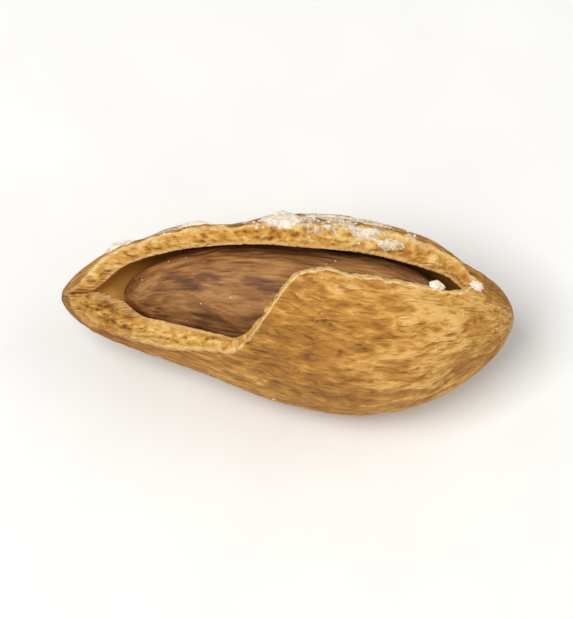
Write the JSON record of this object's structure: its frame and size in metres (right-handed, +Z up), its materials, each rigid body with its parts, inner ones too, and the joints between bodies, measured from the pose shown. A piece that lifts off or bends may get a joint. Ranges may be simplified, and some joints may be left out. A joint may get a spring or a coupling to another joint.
{
  "type": "almond",
  "caption": "Roasted almond in a tan shell that has split along its seam and shows the brown kernel, with crusts of salt on the shell.",
  "frame": {"origin": "middle of the small flat spot on the back edge, which the nut rests on", "axes": "+X along the nut from its pointed tip to its rounded base, +Z up towards the split in the seam, +Y through its thickness away from the broken-out side of the split"},
  "size_m": [0.035, 0.0151, 0.0175],
  "materials": {
    "shell": "matte",
    "kernel": "matte",
    "salt": "matte"
  },
  "bodies": {
    "root": {"shell": "shell", "kernel": "kernel", "salt_rim_crust": "salt", "salt_rim_lump": "salt", "salt_rim_fleck": "salt", "salt_tip_lump": "salt", "salt_split_grain": "salt", "salt_lip_grain": "salt", "salt_back_crust": "salt", "salt_back_fleck": "salt", "salt_edge_crust": "salt", "salt_under_crust": "salt"}
  },
  "joints": []
}
